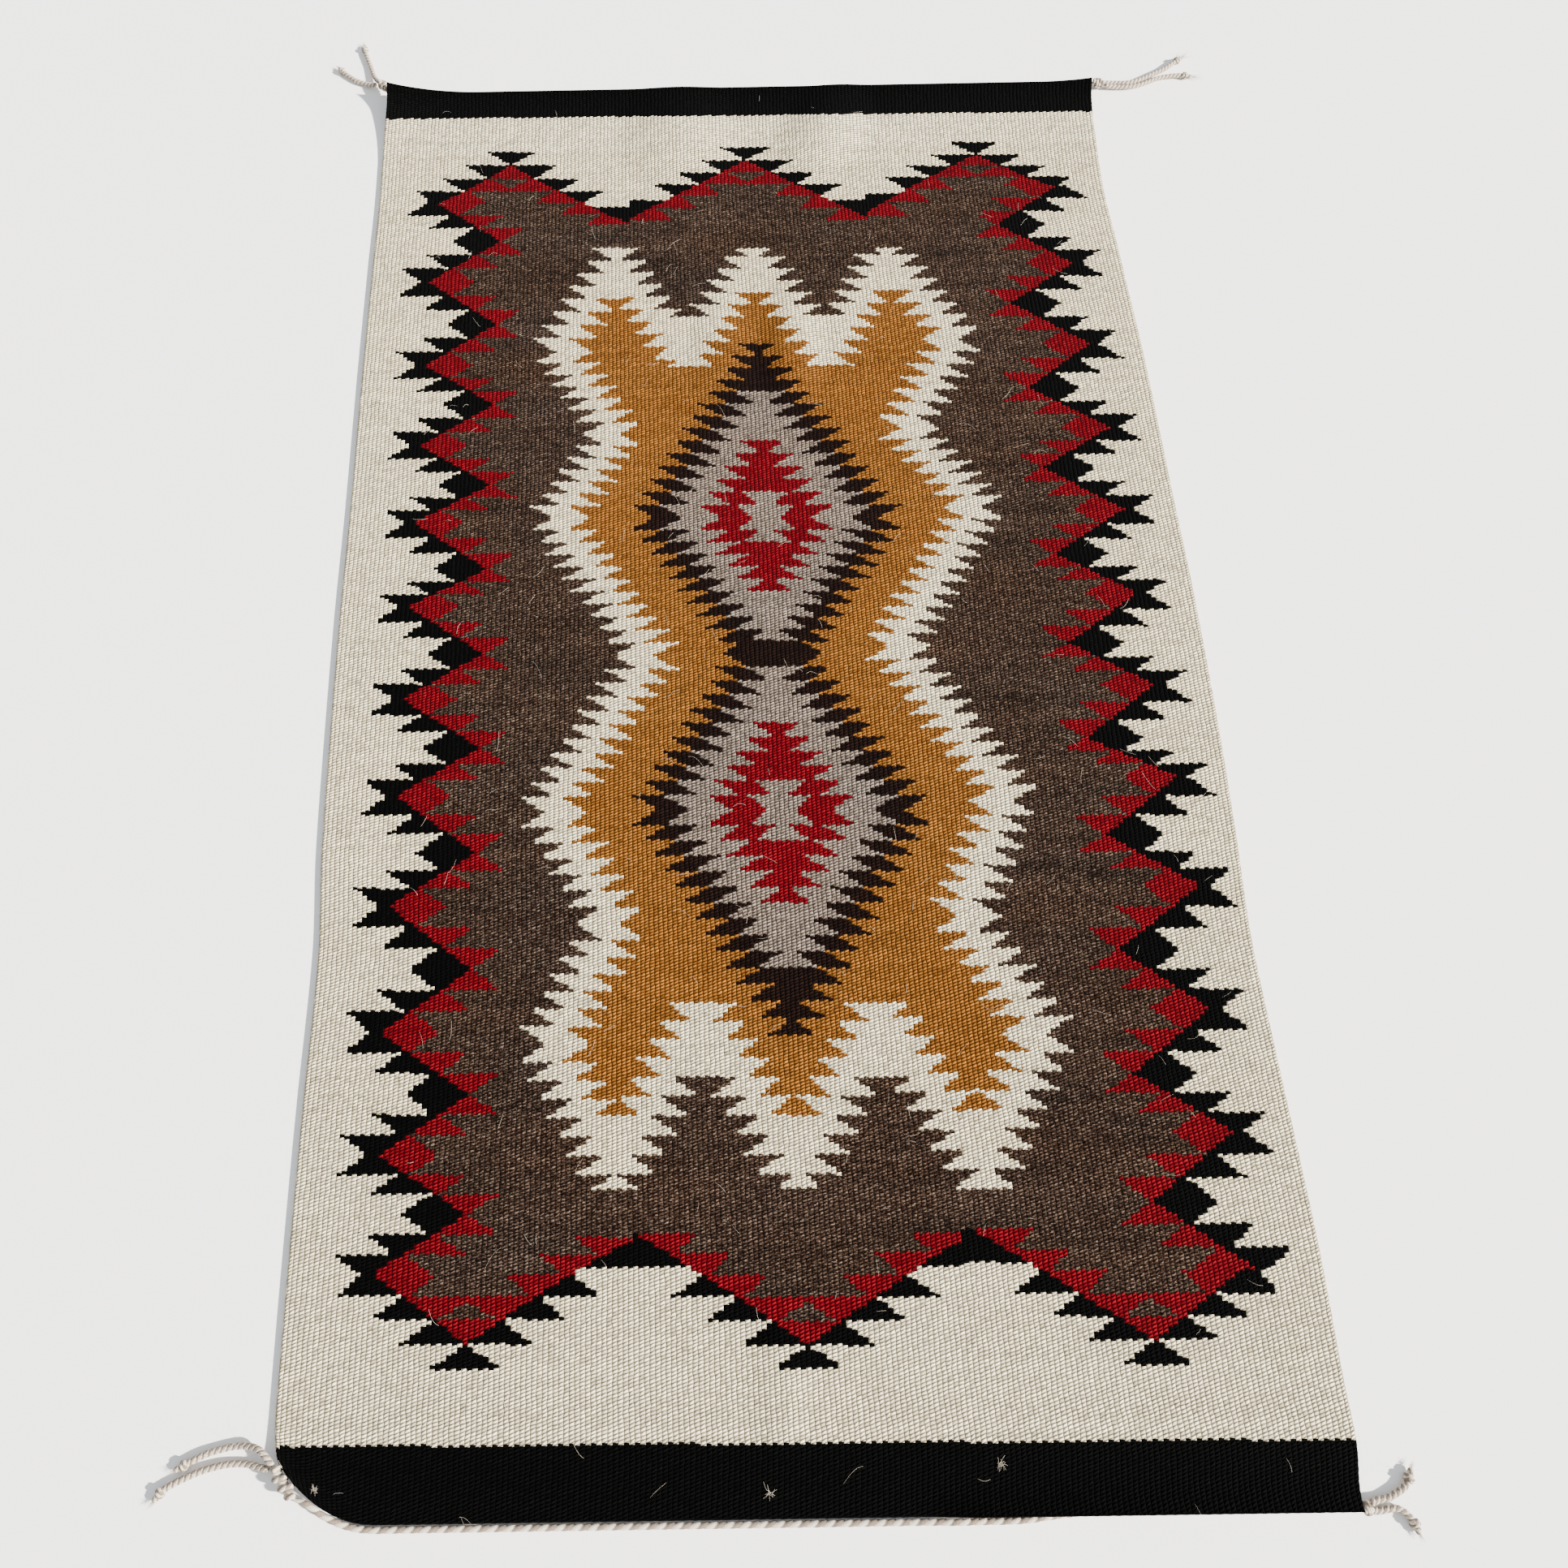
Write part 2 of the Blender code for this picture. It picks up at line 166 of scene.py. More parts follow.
# The web's design, worked out the way a weaver counts it: rows of teeth that step along the warps.
# Places are on a chart 1077 steps wide and 2000 long, counted from the far left corner.
CREAM, BLACK, CRIMSON, HEATHER, GOLD, BROWN, GREY = range(7)
WARP = 1077 / 197
TOOTH = 5.6 * WARP
FAR_JOIN = (75, 60)
NEAR_JOIN = (1937, 1931)
LEFT_TURNS = (
    # row place, red's outer tip there; a red diamond and a black one take turns
    (247, 77), (322, 77), (400, 74), (478, 75), (552, 77), (620, 76), (690, 76), (755, 76), (815, 76),
    (888, 76), (945, 75), (1015, 75), (1080, 76), (1148, 76), (1213, 76), (1288, 76), (1355, 76),
    (1433, 77), (1507, 76), (1578, 79), (1645, 82), (1708, 82), (1770.5, 82),
)
RIGHT_TURNS = (
    # row place, red's outer tip there
    (213, 996), (290, 998), (365, 1000), (440, 1002), (514, 1005), (592, 1009), (660, 1013), (727, 1013),
    (795, 1013), (865, 1012), (925, 1012), (1000, 1013), (1060, 1014), (1135, 1018), (1188, 1022),
    (1265, 1024), (1330, 1026), (1410, 1019), (1480, 1013), (1555, 1015), (1620, 1016), (1695, 1016), (1766, 1016),
)
PEAKS = (
    # middle, six row places from the tip inwards, four on the outer side, flat side of the cap
    (186, (171, 199, 224, 247, 270, 290), (171, 199, 224, 247), 144),
    (538, (161, 186, 210, 233, 258, 282), (161, 186, 210, 233), 135),
    (882, (150, 173, 196, 220, 246, 274), (150, 173, 195, 213), 124),
    (186, (1840, 1815, 1792, 1770.5, 1750, 1732), (1840, 1815, 1792, 1770.5), 1864),
    (541, (1841, 1817, 1793, 1771, 1748, 1728), (1841, 1817, 1793, 1771), 1864),
    (899, (1836, 1813, 1790, 1766, 1745, 1723), (1836, 1813, 1790, 1766), 1860),
)
VALLEYS = (362, 710)
LEFT_OUTLINE = (
    # start, end, rows, flat side of the teeth, first tip, last tip
    (336, 527, 8, "far", 310, 226),
    (527, 671, 7, "near", 230, 298),
    (671, 808, 7, "far", 298, 229),
    (808, 1018, 11, "near", 229, 340),
    (1018, 1234, 11, "far", 340, 225),
    (1234, 1377, 7, "near", 229, 295),
    (1377, 1521, 7, "far", 295, 234),
    (1521, 1688, 8, "near", 232, 307),
)
RIGHT_OUTLINE = (
    (327, 505, 8, "far", 769, 854),
    (505, 661, 7, "near", 852, 781),
    (661, 791, 7, "far", 781, 856),
    (791, 1004, 11, "near", 855, 739),
    (1004, 1218, 11, "far", 739, 855),
    (1218, 1368, 7, "near", 846, 790),
    (1368, 1509, 7, "far", 790, 857),
    (1509, 1681, 8, "near", 855, 775),
)
OUTLINE_WIDTH = 50
PRONGS = (
    # middle, start, row height towards the figure's middle
    (343, 336, 22.9), (541, 330, 22.4), (734, 326, 22.6),
    (340, 1688, -21.6), (540, 1687, -21.4), (740, 1682, -21.3),
)
DIAMONDS = (
    # widest place, row height of the long point, of the short point, which way the long point lies
    (808, 21.0, 19.0, -1),
    (1232, 19.9, 19.8, 1),
)


def toothed(at, spans, slant):
    """Where a serrated join lies at each row: teeth reach out on their flat side and slant in from it"""
    place = np.full(at.shape, -1e6)
    for start, end, rows, flat, first, last in spans:
        step = (at - start) / (end - start) * rows
        row = np.clip(np.floor(step), 0, rows - 1)
        share = step - row
        lean = share if flat == "far" else 1.0 - share
        tip = first + (last - first) * row / (rows - 1)
        place = np.where((at >= start) & (at < end), tip + slant * lean, place)
    return place


def side_border(across, along, turns, side, yarn):
    """Crimson diamonds edged with black teeth down one side, and the heather field inside them"""
    for index in range(len(turns) - 1):
        (start, tip_start), (end, tip_end) = turns[index], turns[index + 1]
        share = (along - start) / (end - start)
        here = (share >= 0.0) & (share < 1.0) & ((across - 538) * side > 0)
        if index % 2:
            share = 1.0 - share
        step = share * 3.0
        row = np.clip(np.floor(step), 0, 2)
        part = step - row
        edge = tip_start + (tip_end - tip_start) * (along - start) / (end - start)
        inward = (edge - across) * side / WARP
        black_from = -7.8 + 6.5 * row + 5.6 * (1.0 - part)
        red_from = 6.0 * step
        heather_from = 12.2 + 6.1 * row - 6.1 * part
        yarn[here] = CREAM
        yarn[here & (inward > black_from)] = BLACK
        yarn[here & (inward > red_from)] = CRIMSON
        yarn[here & (inward > heather_from) & (inward > red_from)] = HEATHER


def end_border(across, along, peak, yarn):
    """One peak of an end border: crimson under black teeth, a black cap, and half of each valley"""
    middle, rows, outer_rows, cap = PEAKS[peak]
    column = peak % 3
    low = -1e6 if column == 0 else VALLEYS[column - 1]
    high = 1e6 if column == 2 else VALLEYS[column]
    far = peak < 3
    for side in (-1, 1):
        outer = (column == 0 and side < 0) or (column == 2 and side > 0)
        places = np.array(outer_rows if outer else rows, float)
        counted = np.arange(len(places), dtype=float)
        order = slice(None) if far else slice(None, None, -1)
        step = np.interp(along, places[order], counted[order], left=-1.0 if far else 99.0, right=99.0 if far else -1.0)
        here = (step >= 0.0) & (step < len(places) - 1) & ((across - middle) * side >= 0) & (across >= low) & (across < high)
        row = np.floor(step)
        part = step - row
        off = np.abs(across - middle) / WARP
        grade = 6.2 if outer else 6.6
        red_to = grade * step
        heather_to = np.where(row >= 1, grade * row - 1.4 - 4.6 * part, 0.0)
        heather_to = np.where(row == 1, 5.6 - 7.0 * part, heather_to)
        tooth_end = np.where(outer & (row >= 2), grade * 3 + 3.0, grade * (row + 1))
        black_to = grade * row + 12.6
        black_to = black_to + (tooth_end - black_to) * part
        yarn[here] = CREAM
        yarn[here & (off < black_to) & (step < 3.0)] = BLACK
        yarn[here & (step > 3.35)] = BLACK
        yarn[here & (off < red_to)] = CRIMSON
        yarn[here & (off < heather_to)] = HEATHER
    reach = np.abs(along - places[0]) / abs(cap - places[0])
    in_cap = (along - cap) * (along - places[0]) < 0
    yarn[in_cap & (np.abs(across - middle) < reach * 7.0 * WARP)] = BLACK


def figure(across, along, yarn):
    """The cream outline with its three points at each end, and the gold ground inside it"""
    left = toothed(along, LEFT_OUTLINE, TOOTH)
    right = toothed(along, RIGHT_OUTLINE, -TOOTH)
    gold_left = left + OUTLINE_WIDTH
    gold_right = right - OUTLINE_WIDTH
    spans = []
    golds = []
    for middle, start, height in PRONGS:
        step = (along - start) / height
        row = np.floor(step)
        part = step - row
        reach = 35.0 + 11.6 * row - TOOTH * part
        spans.append((np.where((step >= 0.0) & (step < 6.0), reach, -1.0), step, middle))
        gold_reach = 29.0 + 11.6 * (row - 4) - 0.85 * TOOTH * part
        golds.append((np.where(step >= 4.0, gold_reach, -1.0), step, middle))
    for far in (True, False):
        three = slice(0, 3) if far else slice(3, 6)
        one, two, three_ = spans[three]
        half = along < 1013 if far else along >= 1013
        joined = two[1] >= 6.0
        inside = half & (left > 0) & (right > 0) & (across > left) & (across < right)
        between_one = (across > one[2]) & (across < two[2]) & (across > one[2] + one[0]) & (across < two[2] - two[0])
        between_two = (across > two[2]) & (across < three_[2]) & (across > two[2] + two[0]) & (across < three_[2] - three_[0])
        between_one &= (one[1] < 6.0) & (two[1] < 6.0)
        between_two &= (three_[1] < 6.0) & (two[1] < 6.0)
        cloth = inside & ~between_one & ~between_two
        # Above the side points' own start only the middle one is there
        yarn[cloth] = CREAM
        one, two, three_ = golds[three]
        gold = inside & (across > gold_left) & (across < gold_right)
        gold &= (one[1] >= 4.0) | (across > (one[2] + two[2]) / 2)
        gold &= (three_[1] >= 4.0) | (across < (three_[2] + two[2]) / 2)
        gold &= (two[1] >= 4.0) | (np.abs(across - two[2]) > 96)
        block_one = (across > one[2]) & (across < two[2]) & (across > one[2] + one[0]) & (across < two[2] - two[0])
        block_two = (across > two[2]) & (across < three_[2]) & (across > two[2] + two[0]) & (across < three_[2] - three_[0])
        block_one &= (one[1] < 10.0) & (two[1] < 10.0)
        block_two &= (three_[1] < 10.0) & (two[1] < 10.0)
        yarn[gold & ~block_one & ~block_two] = GOLD


def diamond(across, along, which, yarn):
    """A dark brown serrated diamond with grey, crimson and a small grey motif inside one another"""
    widest, long_height, short_height, way = DIAMONDS[which]
    off = np.abs(across - 541)
    lengthwise = (along - widest) * way
    for height, rows, last, grey_rows, red_rows in ((long_height, 14, 27.0, 10, 6), (short_height, 10, 73.5, 10, 6)):
        here = lengthwise >= 0 if height is long_height else lengthwise < 0
        step = np.abs(lengthwise) / height
        row = np.floor(step)
        part = 1.0 - (step - row)
        here = here & (row < rows)
        reach = 179.0 + (last - 179.0) * row / (rows - 1) - TOOTH * part
        yarn[here & (off < np.maximum(reach, 5.0))] = BROWN
        yarn[here & (row < grey_rows) & (off < np.maximum(reach - 37.0, 4.0))] = GREY
        red = 90.0 - 11.7 * row - TOOTH * part
        yarn[here & (row < red_rows) & (off < np.maximum(red, 7.0))] = CRIMSON
        motif = np.where(row == 0, 17.0 + 22.0 * (1.0 - part), 9.0 + 23.0 * (1.0 - part))
        yarn[here & (row < 2) & (off < motif)] = GREY


def chart_place(across, along):
    """Where a place on the web, by shares of its width and length, lies on the chart with its folds in it"""
    x, y, height = (place * 1000.0 for place in web_surface(across, along))
    chart_across = 534.3 + 1.3331 * x + 0.0134 * y + 0.00025 * x * y / 1000.0 + height * (0.089 + 0.00126 * x)
    chart_along = 1006.6 - 0.0244 * x - 1.3793 * y - 0.0114 * x * y / 1000.0 - height * (0.715 + 0.00131 * y)
    return chart_across, chart_along


def chart(across, along):
    """The yarn at each place of the chart"""
    yarn = np.full(across.shape, CREAM)
    side_border(across, along, LEFT_TURNS, -1, yarn)
    side_border(across, along, RIGHT_TURNS, 1, yarn)
    for peak in range(6):
        end_border(across, along, peak, yarn)
    figure(across, along, yarn)
    diamond(across, along, 0, yarn)
    diamond(across, along, 1, yarn)
    hexagon = 62.0 - 27.0 * np.abs(along - 1014.5) / 19.5
    yarn[(np.abs(along - 1014.5) < 19.5) & (np.abs(across - 541) < hexagon)] = BROWN
    share = across / 1077
    yarn[along < FAR_JOIN[0] + (FAR_JOIN[1] - FAR_JOIN[0]) * share] = BLACK
    yarn[along > NEAR_JOIN[0] + (NEAR_JOIN[1] - NEAR_JOIN[0]) * share] = BLACK
    return yarn


# The web's yarns: handspun wool singles, packed down until they hide the warp.
# Natural fleece is cream, carded fleece is flecked, and dyed yarn is more even; none of it shines.
YARNS = (
    # name, colour, fleck colour, share of flecks, unevenness from bead to bead
    ("cream_fleece_wool", "#F4E4BE", "#857866", 0.14, 0.13),
    ("black_dyed_wool", "#020202", "#0E0C0C", 0.20, 0.15),
    ("crimson_dyed_wool", "#6A0411", "#420208", 0.25, 0.12),
    ("heather_carded_wool", "#241711", "#695749", 0.42, 0.20),
    ("gold_dyed_wool", "#8A5621", "#52300F", 0.30, 0.14),
    ("brown_fleece_wool", "#1A0E0A", "#0C0605", 0.30, 0.15),
    ("grey_carded_wool", "#8C7C6F", "#443830", 0.42, 0.16),
)


def linear(colour):
    """An sRGB hex colour as the linear values that shaders take"""
    parts = [int(colour[place:place + 2], 16) / 255 for place in (1, 3, 5)]
    return (*(part / 12.92 if part <= 0.04045 else ((part + 0.055) / 1.055) ** 2.4 for part in parts), 1.0)


def add_node(tree, kind, links=(), **settings):
    """Adds a node: settings are its properties, or its inputs by name; links are (input, output socket)"""
    node = tree.nodes.new(kind)
    for name, value in settings.items():
        if hasattr(node, name):
            setattr(node, name, value)
        else:
            node.inputs[name.replace("_", " ")].default_value = value
    for place, source in links:
        tree.links.new(source, node.inputs[place])
    return node


def woven_height(tree):
    """Height of the weave's beads: one rib a warp, and beads two picks long that step by one pick"""
    place = add_node(tree, "ShaderNodeUVMap", uv_map="weave")
    room = add_node(tree, "ShaderNodeTexCoord")
    wander = add_node(tree, "ShaderNodeTexNoise", [("Vector", room.outputs["Object"])], Scale=140.0, Detail=1.0)
    drift = add_node(tree, "ShaderNodeVectorMath", [(0, wander.outputs["Color"])], operation="MULTIPLY_ADD")
    drift.inputs[1].default_value = (0.5, 0.9, 0.0)
    drift.inputs[2].default_value = (-0.25, -0.45, 0.0)
    moved_place = add_node(tree, "ShaderNodeVectorMath", [(0, place.outputs["UV"]), (1, drift.outputs[0])], operation="ADD")
    split = add_node(tree, "ShaderNodeSeparateXYZ", [("Vector", moved_place.outputs[0])])
    warp = split.outputs["X"]
    pick = split.outputs["Y"]
    column = add_node(tree, "ShaderNodeMath", [(0, warp)], operation="FLOOR")
    odd = add_node(tree, "ShaderNodeMath", [(0, column.outputs[0])], operation="MODULO")
    odd.inputs[1].default_value = 2.0
    stepped = add_node(tree, "ShaderNodeMath", [(0, pick), (1, odd.outputs[0])], operation="ADD")
    aside = add_node(tree, "ShaderNodeMath", [(0, warp)], operation="FRACT")
    # Each bead lies a little aslant on its warp
    moved = add_node(tree, "ShaderNodeMath", [(0, aside.outputs[0]), (2, stepped.outputs[0])], operation="MULTIPLY_ADD")
    moved.inputs[1].default_value = -0.9
    halved = add_node(tree, "ShaderNodeMath", [(0, moved.outputs[0])], operation="MULTIPLY")
    halved.inputs[1].default_value = math.pi / 2.0
    wave = add_node(tree, "ShaderNodeMath", [(0, halved.outputs[0])], operation="SINE")
    bead = add_node(tree, "ShaderNodeMath", [(0, wave.outputs[0])], operation="ABSOLUTE")
    turned = add_node(tree, "ShaderNodeMath", [(0, warp)], operation="MULTIPLY")
    turned.inputs[1].default_value = math.pi
    swing = add_node(tree, "ShaderNodeMath", [(0, turned.outputs[0])], operation="SINE")
    rib = add_node(tree, "ShaderNodeMath", [(0, swing.outputs[0])], operation="ABSOLUTE")
    rounded = add_node(tree, "ShaderNodeMath", [(0, rib.outputs[0])], operation="POWER")
    rounded.inputs[1].default_value = 0.45
    packed = add_node(tree, "ShaderNodeMath", [(0, bead.outputs[0])], operation="MULTIPLY_ADD")
    packed.inputs[1].default_value = 0.85
    packed.inputs[2].default_value = 0.15
    count = add_node(tree, "ShaderNodeMath", [(0, moved.outputs[0])], operation="MULTIPLY")
    count.inputs[1].default_value = 0.5
    index = add_node(tree, "ShaderNodeMath", [(0, count.outputs[0])], operation="FLOOR")
    name = add_node(tree, "ShaderNodeCombineXYZ", [("X", column.outputs[0]), ("Y", index.outputs[0])])
    chance = add_node(tree, "ShaderNodeTexWhiteNoise", [("Vector", name.outputs[0])], noise_dimensions="2D")
    plump = add_node(tree, "ShaderNodeMath", [(0, chance.outputs["Value"])], operation="MULTIPLY_ADD")
    plump.inputs[1].default_value = 0.7
    plump.inputs[2].default_value = 0.5
    woven = add_node(tree, "ShaderNodeMath", [(0, rounded.outputs[0]), (1, packed.outputs[0])], operation="MULTIPLY")
    return add_node(tree, "ShaderNodeMath", [(0, woven.outputs[0]), (1, plump.outputs[0])], operation="MULTIPLY")


def wool_material(name, colour, fleck, flecks, bump_mm=2.0):
    """Matt handspun wool: fleece tones from the attribute tint, flecks and fuzz from noise about 1 mm across, and
    painted shade in the hollows between beads
    """
    material = bpy.data.materials.new(name)
    material.use_nodes = True
    tree = material.node_tree
    shader = tree.nodes["Principled BSDF"]
    shader.inputs["Roughness"].default_value = 0.92
    shader.inputs["Specular IOR Level"].default_value = 0.02
    shader.inputs["Sheen Weight"].default_value = 0.005
    shader.inputs["Sheen Roughness"].default_value = 0.6
    room = add_node(tree, "ShaderNodeTexCoord")
    stretch = add_node(tree, "ShaderNodeMapping", [("Vector", room.outputs["Object"])])
    stretch.inputs["Scale"].default_value = (420.0, 1300.0, 1300.0)
    noise = add_node(tree, "ShaderNodeTexNoise", [("Vector", stretch.outputs["Vector"])], Scale=1.0, Detail=3.0, Roughness=0.7)
    spread = add_node(tree, "ShaderNodeMapRange", [("Value", noise.outputs["Fac"])])
    spread.inputs["From Min"].default_value = 0.66 - 0.40 * flecks
    spread.inputs["From Max"].default_value = 0.76 - 0.25 * flecks
    tint = add_node(tree, "ShaderNodeAttribute", attribute_name="tint")
    mixed = add_node(tree, "ShaderNodeMix", data_type="RGBA")
    colours = [socket for socket in mixed.inputs if socket.type == "RGBA"]
    colours[0].default_value = linear(colour)
    colours[1].default_value = linear(fleck)
    tree.links.new(spread.outputs["Result"], mixed.inputs["Factor"])
    blended = [socket for socket in mixed.outputs if socket.type == "RGBA"][0]
    tinted = add_node(tree, "ShaderNodeVectorMath", [(0, blended), (1, tint.outputs["Color"])], operation="MULTIPLY")
    height = woven_height(tree)
    # Painted shade: the colour falls to 7% where the weave is low, in the hollows between beads and ribs
    hollow_painted_shade = add_node(tree, "ShaderNodeMapRange", [("Value", height.outputs[0])])
    hollow_painted_shade.inputs["From Max"].default_value = 0.82
    hollow_painted_shade.inputs["To Min"].default_value = 0.07
    shaded = add_node(tree, "ShaderNodeVectorMath", [(0, tinted.outputs[0])], operation="SCALE")
    tree.links.new(hollow_painted_shade.outputs["Result"], shaded.inputs["Scale"])
    tree.links.new(shaded.outputs[0], shader.inputs["Base Color"])
    fuzz = add_node(tree, "ShaderNodeMath", [(0, noise.outputs["Fac"]), (2, height.outputs[0])], operation="MULTIPLY_ADD")
    fuzz.inputs[1].default_value = 0.35
    bump = add_node(tree, "ShaderNodeBump", [("Height", fuzz.outputs[0])], Distance=bump_mm / 1000.0, Strength=1.0)
    tree.links.new(bump.outputs["Normal"], shader.inputs["Normal"])
    return material


wools = [wool_material(name, colour, fleck, flecks) for name, colour, fleck, flecks, _ in YARNS]


# The web itself, 197 warps by 1046 picks: every bead of weft is two picks long on one warp.
# Neighbouring warps show their beads one pick apart, which gives the joins their fine steps.
WARPS = 197
PICKS = 1046
random = np.random.default_rng(41)


def cell_yarns():
    """Yarn and tint of every warp and pick"""
    column, pick = np.meshgrid(np.arange(WARPS), np.arange(PICKS))
    bead = (pick + column % 2) // 2
    middle = 2.0 * bead + 1.0 - column % 2
    across, along = chart_place((column + 0.5) / WARPS, np.clip(middle / PICKS, 0.0, 1.0))
    yarn = chart(across, along)
    beads = PICKS // 2 + 1
    even = random.normal(0.0, 1.0, (beads, WARPS))
    line = random.normal(0.0, 1.0, beads)
    unevenness = np.array([row[4] for row in YARNS])
    tone = 1.0 + unevenness[yarn] * (0.8 * even[bead, column] + 0.35 * line[bead])
    # Fleece changes slowly along a pick and from one pick to the next
    knots = np.linspace(0, WARPS - 1, 14)
    streaks = []
    for taps in (5, 15):
        loose = random.normal(0.0, 1.0, (beads + taps - 1, 14))
        rolled = sum(loose[tap:tap + beads] for tap in range(taps)) / math.sqrt(taps)
        streaks.append(np.array([np.interp(np.arange(WARPS), knots, row) for row in rolled]))
    shade, warmth = (streak[bead, column] for streak in streaks)
    depth = np.array([0.012, 0.0, 0.03, 0.13, 0.05, 0.05, 0.05])[yarn]
    warm = np.array([0.006, 0.0, 0.0, 0.035, 0.015, 0.02, 0.01])[yarn]
    tone = tone * (1.0 + depth * shade)
    tint = np.stack([tone * (1.0 + warm * warmth), tone, tone * (1.0 - warm * warmth)], axis=-1)
    paler = (yarn == CREAM) & (along < 156 - 0.03 * across)
    tint[paler] *= np.array([1.06, 1.07, 1.11])
    return yarn, np.clip(tint, 0.3, 1.7)


def add_mesh(name, points, faces, materials, slots, tint=None, uv=None):
    """One object from numpy rows of points and of faces with equal corners"""
    mesh = bpy.data.meshes.new(name)
    count, corners = faces.shape
    mesh.vertices.add(len(points))
    mesh.vertices.foreach_set("co", np.asarray(points, np.float32).ravel())
    mesh.loops.add(count * corners)
    mesh.loops.foreach_set("vertex_index", faces.astype(np.int32).ravel())
    mesh.polygons.add(count)
    mesh.polygons.foreach_set("loop_start", np.arange(0, count * corners, corners, dtype=np.int32))
    for material in materials:
        mesh.materials.append(material)
    mesh.polygons.foreach_set("material_index", np.asarray(slots, np.int32))
    if uv is not None:
        layer = mesh.uv_layers.new(name="weave")
        layer.uv.foreach_set("vector", np.asarray(uv, np.float32).ravel())
    if tint is not None:
        attribute = mesh.attributes.new("tint", "FLOAT_COLOR", "FACE")
        values = np.ones((count, 4), np.float32)
        values[:, :3] = tint
        attribute.data.foreach_set("color", values.ravel())
    mesh.update(calc_edges=True)
    mesh.validate()
    mesh.shade_smooth()
    piece = bpy.data.objects.new(name, mesh)
    bpy.context.scene.collection.objects.link(piece)
    return piece


yarn, tint = cell_yarns()
SELVAGE_ROUND = 0.001


def grid_points(columns, rows, layer):
    """Points of one face of the web, its border drawn in a little where the edge rounds over"""
    across, along = np.meshgrid(columns, rows)
    x, y, height = web_surface(across, along)
    x = x + SELVAGE_ROUND * ((across == 0.0).astype(float) - (across == 1.0))
    y = y + SELVAGE_ROUND * ((along == 0.0).astype(float) - (along == 1.0))
    return np.stack([x, y, height + layer * WEB_THICKNESS], axis=-1)


STRIPS = 3
bounds_of_strip = np.linspace(0, PICKS, STRIPS + 1).astype(int)
columns = np.linspace(0.0, 1.0, WARPS + 1)
for strip in range(STRIPS):
    low, high = bounds_of_strip[strip], bounds_of_strip[strip + 1]
    points = grid_points(columns, np.arange(low, high + 1) / PICKS, 1)
    deep = high - low
    corner = np.arange(deep)[:, None] * (WARPS + 1) + np.arange(WARPS)[None, :]
    faces = np.stack([corner, corner + 1, corner + WARPS + 2, corner + WARPS + 1], axis=-1).reshape(-1, 4)
    column, pick = np.meshgrid(np.arange(WARPS), np.arange(low, high))
    u = np.stack([column, column + 1, column + 1, column], axis=-1)
    v = np.stack([pick, pick, pick + 1, pick + 1], axis=-1)
    uv = np.stack([u, v], axis=-1).reshape(-1, 2)
    piece = add_mesh(
        f"web_face_{strip + 1}",
        points.reshape(-1, 3),
        faces,
        wools,
        yarn[low:high].ravel(),
        tint[low:high].reshape(-1, 3),
        uv,
    )
    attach(piece, "root")

# The web's back and its edges: tapestry shows the same design on both faces.
# The back is drawn two picks at a time, and the edges are the weft's turns round the outer warps.
BACK_ROWS = PICKS // 2
back = grid_points(columns, np.arange(BACK_ROWS + 1) / BACK_ROWS, 0).reshape(-1, 3)
corner = np.arange(BACK_ROWS)[:, None] * (WARPS + 1) + np.arange(WARPS)[None, :]
back_faces = np.stack([corner, corner + WARPS + 1, corner + WARPS + 2, corner + 1], axis=-1).reshape(-1, 4)
column, pick = np.meshgrid(np.arange(WARPS), np.arange(BACK_ROWS) * 2)
u = np.stack([column, column, column + 1, column + 1], axis=-1)
v = np.stack([pick, pick + 2, pick + 2, pick], axis=-1)
back_uv = np.stack([u, v], axis=-1).reshape(-1, 2)
back_yarn = yarn[::2].ravel()
back_tint = tint[::2].reshape(-1, 3)
# Round the border: top edge, middle of the edge and bottom edge, one step a pick or a warp
border = [(share, 0.0) for share in columns[:-1]]
border += [(1.0, row / BACK_ROWS) for row in range(BACK_ROWS)]
border += [(share, 1.0) for share in columns[:0:-1]]
border += [(0.0, row / BACK_ROWS) for row in range(BACK_ROWS, 0, -1)]
border = np.array(border)
x, y, height = web_surface(border[:, 0], border[:, 1])
inset_x = SELVAGE_ROUND * ((border[:, 0] == 0.0).astype(float) - (border[:, 0] == 1.0))
inset_y = SELVAGE_ROUND * ((border[:, 1] == 0.0).astype(float) - (border[:, 1] == 1.0))
top_edge = np.stack([x + inset_x, y + inset_y, height + WEB_THICKNESS], axis=-1)
swell = 0.2 * (np.arange(len(border)) % 2)
upper = np.stack([x + inset_x * (0.25 - swell), y + inset_y * (0.25 - swell), height + WEB_THICKNESS * 0.72], axis=-1)
lower = np.stack([x + inset_x * (0.25 - swell), y + inset_y * (0.25 - swell), height + WEB_THICKNESS * 0.28], axis=-1)
bottom_edge = np.stack([x + inset_x, y + inset_y, height], axis=-1)
rails = [top_edge, upper, lower, bottom_edge]
around = len(border)
first = len(back)
edge_faces = []
edge_yarn = []
edge_tint_with_painted_shade = []
step = np.arange(around)
following = (step + 1) % around
cell_column = np.clip((border[:, 0] * WARPS).astype(int), 0, WARPS - 1)
cell_pick = np.clip((border[:, 1] * PICKS).astype(int), 0, PICKS - 1)
for rail in range(3):
    low_rail = first + (rail + 1) * around
    high_rail = first + rail * around
    edge_faces.append(np.stack([high_rail + step, low_rail + step, low_rail + following, high_rail + following], axis=-1))
    edge_yarn.append(yarn[cell_pick, cell_column])
    # The edge faces keep their cells' tone, painted 8% darker: painted shade on the rounded edge
    edge_tint_with_painted_shade.append(tint[cell_pick, cell_column] * 0.92)
edge_uv = np.zeros((3 * around * 4, 2)) + 0.5
